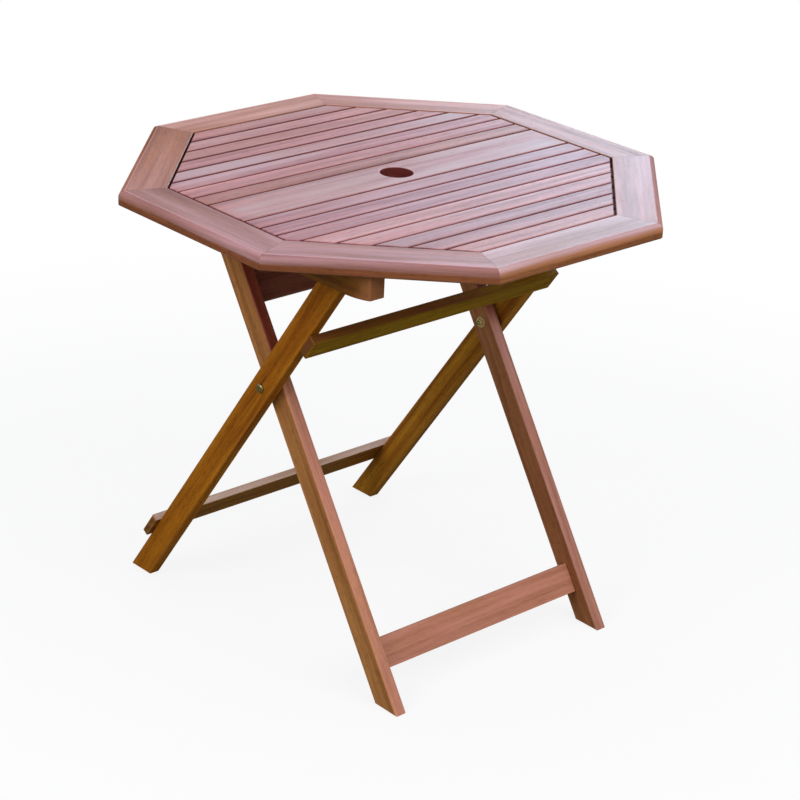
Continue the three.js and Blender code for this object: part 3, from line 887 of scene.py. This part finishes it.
def screw_head_shape(sizes):
    """A pan head with a tapered cross recess."""
    radius, height = sizes.screw_diameter / 2, sizes.screw_height
    arm, web, floor = radius * 0.56, radius * 0.15, height * 0.3
    quarter = [(arm, 0), (arm, web), (web * 1.6, web), (web, web), (web, web * 1.6), (web, arm)]
    outline = []
    for cos, sin in ((1, 0), (0, 1), (-1, 0), (0, -1)):
        outline += [(x * cos - y * sin, x * sin + y * cos) for x, y in quarter]
    rings = [[(x * 0.62, y * 0.62, floor) for x, y in outline], [(x, y, height * 0.96) for x, y in outline]]
    around = [math.atan2(y, x) for x, y in outline]
    for reach, level in ((0.72, 0.93), (0.9, 0.72), (0.98, 0.45), (1.0, 0.2), (0.99, 0.0), (0.97, -0.1)):
        rings.append(flat_ring(radius * reach, height * level, around))
    return rings_to_mesh("screw_head_shape", rings, closed=False)


def plug_shape(sizes):
    """A low dome that closes a screw's hole."""
    around = [math.tau * j / 32 for j in range(32)]
    rings = [
        flat_ring(sizes.plug_diameter / 2 * reach, sizes.plug_height * level, around)
        for reach, level in ((0.3, 1.0), (0.75, 0.92), (0.95, 0.6), (1.0, 0.0), (1.0, -0.5))
    ]
    return rings_to_mesh("plug_shape", rings, closed=False)


def flat_ring(radius, height, around):
    """A level ring of points at given angles."""
    return [(radius * math.cos(turn), radius * math.sin(turn), height) for turn in around]


def fastener_tree():
    """Sets one fastener on each point, facing along the point's own direction and turned at random."""
    known = bpy.data.node_groups.get("Fasteners on points")
    if known:
        return known
    tree, g, given = named_tree("Fasteners on points", "GeometryNodeTree", (
        ("Geometry", "Points"), ("Object", "Fastener"), ("Float", "Scale"), ("Int", "Seed"), ("Material", "Material"),
    ), (("Geometry", "Geometry"),))
    shape = g.add("GeometryNodeObjectInfo", {"Object": given["Fastener"]}).outputs["Geometry"]
    facing = g.add("GeometryNodeInputNamedAttribute", {"Name": "facing"}, data_type="FLOAT_VECTOR")
    upright = g.add("FunctionNodeAlignRotationToVector", {"Vector": facing.outputs[0]}, axis="Z")
    around = g.add("FunctionNodeRandomValue", {2: 0, 3: math.tau, "Seed": given["Seed"]}, data_type="FLOAT")
    spin = g.add("FunctionNodeAxisAngleToRotation", {"Axis": (0, 0, 1), "Angle": around.outputs[1]})
    turned = g.add(
        "FunctionNodeRotateRotation", {0: upright.outputs[0], 1: spin.outputs[0]}, rotation_space="LOCAL"
    )
    dots = g.add("GeometryNodeMeshToPoints", {"Mesh": given["Points"]}).outputs[0]
    placed = g.add("GeometryNodeInstanceOnPoints", {
        "Points": dots, "Instance": shape, "Rotation": turned.outputs[0], "Scale": given["Scale"],
    }).outputs[0]
    real = g.add("GeometryNodeRealizeInstances", {"Geometry": placed}).outputs[0]
    painted = g.add("GeometryNodeSetMaterial", {"Geometry": real, "Material": given["Material"]}).outputs[0]
    g.add("NodeGroupOutput", {"Geometry": painted})
    return tree


def set_out_fasteners(name, shape, places, body, material, seed):
    """One mesh of like fasteners for a body, from pairs of a point and the way it faces."""
    points = bpy.data.meshes.new(name + "_points")
    points.from_pydata([place for place, _ in places], [], [])
    facing = points.attributes.new("facing", "FLOAT_VECTOR", "POINT")
    facing.data.foreach_set("vector", [part for _, way in places for part in way])
    carrier = new_object(name + "_points", points)
    pattern = new_object(name + "_pattern", shape)
    tree = fastener_tree()
    modifier = carrier.modifiers.new("Fasteners", "NODES")
    modifier.node_group = tree
    wanted = {"Fastener": pattern, "Scale": 1.0, "Seed": seed, "Material": material}
    for item in tree.interface.items_tree:
        if item.in_out == "INPUT" and item.name in wanted:
            modifier[item.identifier] = wanted[item.name]
    bpy.context.view_layer.update()
    graph = bpy.context.evaluated_depsgraph_get()
    mesh = bpy.data.meshes.new_from_object(carrier.evaluated_get(graph))
    mesh.name = name
    carrier.modifiers.remove(modifier)
    for helper in (carrier, pattern):
        bpy.data.objects.remove(helper)
    if not mesh.polygons:
        raise RuntimeError(f"{name} came out empty")
    return finished_object(name, mesh, material, body)


def pairs_on_legs(node, towards, step):
    """Two places over each outer leg, on the face of a rail that faces a given way."""
    rail = Board(node, ALONG_X, ALONG_X.cross(OUTER_LEG))
    out = rail.turn.col[2]
    if out.dot(towards) < 0:
        out = -out
    places = []
    for side in SIDES:
        low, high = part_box(f"outer_leg_{side}")
        for across in (-step, step):
            place = rail.centre + rail.turn.col[1] * across + out * rail.half.z
            place.x = (low.x + high.x) / 2
            places.append((place, out))
    return places


# Operators


class FinishRim(bpy.types.Operator):
    """Lays the grain of the eight rim boards round the octagon, and of their biscuits across the mitres"""

    bl_idname = "umbrella_table.finish_rim"
    bl_label = "Finish rim"

    def execute(self, context):
        boards, biscuits = {}, {}
        for i, (board, biscuit) in enumerate(zip(RIM_BOARDS, BISCUITS)):
            for pieces, piece, turn in ((boards, board, i), (biscuits, biscuit, i + 0.5)):
                around = turn * math.pi / 4
                pieces[piece] = (Vector((-math.sin(around), math.cos(around), 0)), UP)
        finish_boards(boards, "rim", 1, grime=0.8, wear=0.4, edge_width=0.008)
        finish_boards(biscuits, "beech", 2, "beech_pale", gloss=0.3)
        return {"FINISHED"}


class FinishSlats(bpy.types.Operator):
    """Gives each slat its own cut of hardwood, with the grain along it"""

    bl_idname = "umbrella_table.finish_slats"
    bl_label = "Finish slats"

    def execute(self, context):
        boards = {name: (ALONG_X, UP) for name in SLATS}
        finish_boards(boards, "slat", 3, grime=0.85, wear=0.7, bleach_from=0.62, bleach_to=0.97, dull_ends=0.05)
        return {"FINISHED"}


class FinishBattens(bpy.types.Operator):
    """Finishes the two battens and the stop rail under the top"""

    bl_idname = "umbrella_table.finish_battens"
    bl_label = "Finish battens and stop rail"

    def execute(self, context):
        boards = {f"batten_{side}": (Vector((0, 1, 0)), ALONG_X) for side in SIDES}
        boards["stop_rail"] = (ALONG_X, UP)
        finish_boards(boards, "frame", 4, square_ends=True, gloss=0.15, wear=0.4, sheltered=True, pale_ends=0.07)
        return {"FINISHED"}


class FinishOuterFrame(bpy.types.Operator):
    """Finishes the outer legs, the crossbar and the lower stretcher"""

    bl_idname = "umbrella_table.finish_outer_frame"
    bl_label = "Finish outer frame"

    def execute(self, context):
        legs = {f"outer_leg_{side}": (OUTER_LEG, ALONG_X) for side in SIDES}
        finish_boards(legs, "frame", 5, gloss=0.06, wear=0.4)
        rail = (ALONG_X, ALONG_X.cross(OUTER_LEG))
        ends = [0.6 * part for part in context.scene.table_wood.inner_dark]
        # The crossbar's upward faces take a dark tone: painted shade under the top
        finish_boards(
            {"upper_crossbar": rail}, "crossbar", 6, "crossbar_top",
            square_ends=True, gloss=0.05, wear=0.3, end_tone=ends, dirty_end=True,
        )
        finish_boards(
            {"lower_stretcher": rail}, "frame", 9, "stretcher_weathered",
            square_ends=True, gloss=0.2, bleach_from=0.55, bleach_to=0.85,
        )
        return {"FINISHED"}


class FinishInnerFrame(bpy.types.Operator):
    """Finishes the inner legs and the two rails between them"""

    bl_idname = "umbrella_table.finish_inner_frame"
    bl_label = "Finish inner frame"

    def execute(self, context):
        legs = {f"inner_leg_{side}": (INNER_LEG, ALONG_X) for side in SIDES}
        finish_boards(legs, "inner", 7, gloss=0.12, wear=0.9, sheltered=True, stained=0.9)
        rail = (ALONG_X, ALONG_X.cross(INNER_LEG))
        rails = {"inner_top_rail": rail, "inner_bottom_stretcher": rail}
        finish_boards(rails, "inner", 8, "frame_weathered", gloss=0.2, sheltered=True)
        return {"FINISHED"}


class MakeBolts(bpy.types.Operator):
    """Makes the four threaded pivot bolts, with domed heads outside the legs and low ones inside"""

    bl_idname = "umbrella_table.make_bolts"
    bl_label = "Make bolts"

    def execute(self, context):
        sizes = context.scene.table_fasteners
        for name, side in zip(SIDES, (-1, 1)):
            node = f"cross_bolt_{name}"
            near, far = span_along_x(node, side)
            head = domed_head(radius_of(node), DOMED_HEAD, sizes.head_edge)
            profile = bolt_profile(near, far - DOMED_HEAD, head, sizes)
            rings = turned_rings(profile, CROSS_PIVOT, side, pitch=sizes.thread_pitch)
            turned_piece(node, rings, "outer_frame", "plating", crease=50, closed=False)

            node = f"top_bolt_{name}"
            near, far = span_along_x(node, side)
            profile = bolt_profile(-far, -near - LOW_HEAD, low_head(radius_of(node), LOW_HEAD), sizes)
            rings = turned_rings(profile, TOP_PIVOT, -side, pitch=sizes.thread_pitch)
            turned_piece(node, rings, "tabletop", "plating", crease=50, closed=False)
        return {"FINISHED"}


class MakeNutsAndWashers(bpy.types.Operator):
    """Makes the chamfered nuts, the washers and the spacers on the pivots"""

    bl_idname = "umbrella_table.make_nuts"
    bl_label = "Make nuts, washers and spacers"

    def execute(self, context):
        for name, side in zip(SIDES, (-1, 1)):
            for node, axis, body, turn in (
                (f"cross_nut_{name}", CROSS_PIVOT, "inner_frame", 0.3 + side * 0.2),
                (f"top_nut_{name}", TOP_PIVOT, "tabletop", 0.6 + side * 0.3),
            ):
                near, far = span_along_x(node, side)
                rings = hex_nut_rings(near, far, axis, side, turn)
                turned_piece(node, rings, body, "nut_plating", crease=28, closed=True)
            for node, body in ((f"cross_washer_{name}", "inner_frame"), (f"cross_spacer_{name}", "outer_frame")):
                near, far = span_along_x(node, side)
                hole, radius, ease = BOLT_HOLE, radius_of(node), WASHER_EASE
                loop = [
                    (near, hole + ease, 0), (near + ease, hole, 0),
                    (far - ease, hole, 0), (far, hole + ease, 0),
                    (far, radius - ease, 0), (far - ease, radius, 0),
                    (near + ease, radius, 0), (near, radius - ease, 0),
                ]
                rings = turned_rings(loop, CROSS_PIVOT, side)
                turned_piece(node, rings, body, "dull_plating", crease=28, closed=True)
        return {"FINISHED"}


class SetOutScrews(bpy.types.Operator):
    """Sets wood screws under the slat crossings of the battens that are clear of the pivots and tapered ends, in the
    stop rail and in the lower stretcher
    """

    bl_idname = "umbrella_table.set_out_screws"
    bl_label = "Set out screws"

    def execute(self, context):
        sizes = context.scene.table_fasteners
        under_top = []
        for side in SIDES:
            low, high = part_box(f"batten_{side}")
            for slat in SLATS:
                first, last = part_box(slat)
                middle = (first.y + last.y) / 2
                clear = abs(middle - TOP_PIVOT.y) > CLEAR_OF_PIVOT
                if abs(middle) < high.y - BATTEN_TAPER and clear:
                    under_top.append((Vector(((low.x + high.x) / 2, middle, low.z)), -UP))
        low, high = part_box("stop_rail")
        for x in SCREWS_IN_STOP_RAIL:
            under_top.append((Vector((x, (low.y + high.y) / 2, low.z)), -UP))
        set_out_fasteners(
            "screws_under_top", screw_head_shape(sizes), under_top,
            "tabletop", plating_material(), sizes.seed,
        )
        places = pairs_on_legs("lower_stretcher", Vector((0, 1, 0)), STRETCHER_SCREW_STEP)
        set_out_fasteners(
            "screws_in_stretcher", screw_head_shape(sizes), places,
            "outer_frame", plating_material(), sizes.seed + 1,
        )
        return {"FINISHED"}


class SetOutPlugs(bpy.types.Operator):
    """Closes the crossbar's screw holes with wooden plugs"""

    bl_idname = "umbrella_table.set_out_plugs"
    bl_label = "Set out plugs"

    def execute(self, context):
        sizes = context.scene.table_fasteners
        places = pairs_on_legs("upper_crossbar", Vector((0, -1, 0)), PLUG_STEP)
        set_out_fasteners(
            "crossbar_plugs", plug_shape(sizes), places,
            "outer_frame", plug_material(), sizes.seed + 2,
        )
        return {"FINISHED"}


def floor_material(settings):
    """Pale floor that keeps the table's soft shadow and fades into the white backdrop."""
    material, g = empty_material("pale_floor")
    place = g.add("ShaderNodeTexCoord").outputs["Object"]
    away = g.span(g.vector("LENGTH", place), *FLOOR_FADE, FLOOR_WHITENED, 1.0)
    lit = g.add("ShaderNodeBsdfDiffuse", {"Color": rgba(settings.floor_tone)}).outputs[0]
    white = g.add("ShaderNodeEmission", {"Color": (1, 1, 1, 1), "Strength": 1.0}).outputs[0]
    bounce = g.add("ShaderNodeBsdfDiffuse", {"Color": rgba(settings.bounce_tone)}).outputs[0]
    by_camera = g.add("ShaderNodeLightPath").outputs["Is Camera Ray"]
    above = g.mix(by_camera, bounce, g.mix(away, lit, white))
    under = g.add("ShaderNodeNewGeometry").outputs["Backfacing"]
    clear = g.add("ShaderNodeBsdfTransparent").outputs[0]
    g.add("ShaderNodeOutputMaterial", {0: g.mix(under, above, clear)})
    return material


def backdrop_world(settings):
    """Soft light from all round, seen as white."""
    world = bpy.data.worlds.new("Studio dome")
    world.use_nodes = True
    world.node_tree.nodes.clear()
    g = Graph(world.node_tree)
    rays = g.add("ShaderNodeLightPath").outputs
    seen = g.math("MAXIMUM", rays["Is Camera Ray"], rays["Is Transmission Ray"])
    dome = g.add("ShaderNodeBackground", {"Color": rgba(settings.sky_tone), "Strength": 1.0}).outputs[0]
    white = g.add("ShaderNodeBackground", {"Color": (1, 1, 1, 1), "Strength": 1.0}).outputs[0]
    g.add("ShaderNodeOutputWorld", {0: g.mix(seen, dome, white)})
    return world


def softbox(name, place, target, size, power, tone, lights=True):
    """A rectangular lamp that faces a point. The camera doesn't see it, and with lights off it only shines."""
    lamp = bpy.data.lights.new(name, "AREA")
    lamp.shape = "RECTANGLE"
    lamp.size, lamp.size_y = size
    lamp.energy = power
    lamp.color = tone
    made = new_object(name, lamp)
    made.location = place
    made.rotation_euler = (Vector(target) - Vector(place)).to_track_quat("-Z", "Y").to_euler()
    made.visible_camera = False
    made.visible_diffuse = lights


class SetStage(bpy.types.Operator):
    """Sets the floor, the dome, the softboxes and the camera"""

    bl_idname = "umbrella_table.set_stage"
    bl_label = "Set stage"

    def execute(self, context):
        scene = context.scene
        settings = scene.table_stage
        scene.view_settings.view_transform = "Standard"
        floor = bpy.data.meshes.new("studio_floor")
        ring = flat_ring(FLOOR_RADIUS, -FLOOR_DROP, [math.tau * j / 64 for j in range(64)])
        floor.from_pydata(ring, [], [tuple(range(64))])
        floor.materials.append(floor_material(settings))
        new_object("studio_floor", floor)
        scene.world = backdrop_world(settings)
        warm, cool, sky_blue = (1, 0.97, 0.92), (0.94, 0.97, 1), (0.5, 0.79, 1)
        softbox("key_softbox", (0.4, -2.7, 2.8), LEGS_MIDDLE, (2.4, 2.4), settings.key_power, warm)
        softbox("side_softbox", (-2.9, -0.2, 2.2), LEGS_MIDDLE, (1.6, 1.6), settings.side_power, warm)
        softbox("top_softbox", (0.4, 0.8, 3.2), TOP_MIDDLE, (2.4, 2.4), settings.top_power, cool)
        softbox(
            "sheen_softbox", (3.1, 1.38, 1.9), TOP_MIDDLE, (2.4, 1.3), settings.sheen_power, sky_blue,
            lights=False,
        )
        self.set_camera(scene, settings)
        return {"FINISHED"}

    def set_camera(self, scene, settings):
        turn, rise, roll = settings.azimuth, settings.elevation, settings.roll
        look = -Vector((math.sin(turn) * math.cos(rise), -math.cos(turn) * math.cos(rise), math.sin(rise)))
        level = look.cross(UP).normalized()
        over = level.cross(look)
        right = math.cos(roll) * level + math.sin(roll) * over
        top = -math.sin(roll) * level + math.cos(roll) * over
        lens = bpy.data.cameras.new("photo_camera")
        lens.sensor_fit, lens.sensor_width = "HORIZONTAL", 36
        lens.lens = settings.focal_length
        camera = new_object("photo_camera", lens)
        turned = Matrix((right, top, -look)).transposed().to_4x4()
        camera.matrix_world = Matrix.Translation(settings.camera_place) @ turned
        scene.camera = camera


STEPS = (
    FinishRim, FinishSlats, FinishBattens, FinishOuterFrame, FinishInnerFrame,
    MakeBolts, MakeNutsAndWashers, SetOutScrews, SetOutPlugs, SetStage,
)


class UmbrellaTablePanel(bpy.types.Panel):
    """Lists the table's steps and settings"""

    bl_idname = "VIEW3D_PT_umbrella_table"
    bl_label = "Umbrella table"
    bl_space_type = "VIEW_3D"
    bl_region_type = "UI"
    bl_category = "Umbrella table"

    def draw(self, context):
        column = self.layout.column()
        for step in STEPS:
            column.operator(step.bl_idname)
        for title, group in (
            ("Wood", context.scene.table_wood),
            ("Fasteners", context.scene.table_fasteners),
            ("Stage", context.scene.table_stage),
        ):
            box = self.layout.box()
            box.label(text=title)
            for name in group.bl_rna.properties.keys():
                if name not in ("rna_type", "name"):
                    box.prop(group, name)


SCENE_PROPERTIES = {
    "table_wood": TableWoodFinish,
    "table_fasteners": TableFastenerSizes,
    "table_stage": TableStageSettings,
}
CLASSES = (*SCENE_PROPERTIES.values(), *STEPS, UmbrellaTablePanel)


def register():
    for group in CLASSES:
        bpy.utils.register_class(group)
    for name, group in SCENE_PROPERTIES.items():
        setattr(bpy.types.Scene, name, bpy.props.PointerProperty(type=group))


def unregister():
    for name in SCENE_PROPERTIES:
        delattr(bpy.types.Scene, name)
    for group in reversed(CLASSES):
        bpy.utils.unregister_class(group)


def main():
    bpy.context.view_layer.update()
    register()
    for step in STEPS:
        family, action = step.bl_idname.split(".")
        getattr(getattr(bpy.ops, family), action)()


if __name__ == "__main__":
    main()
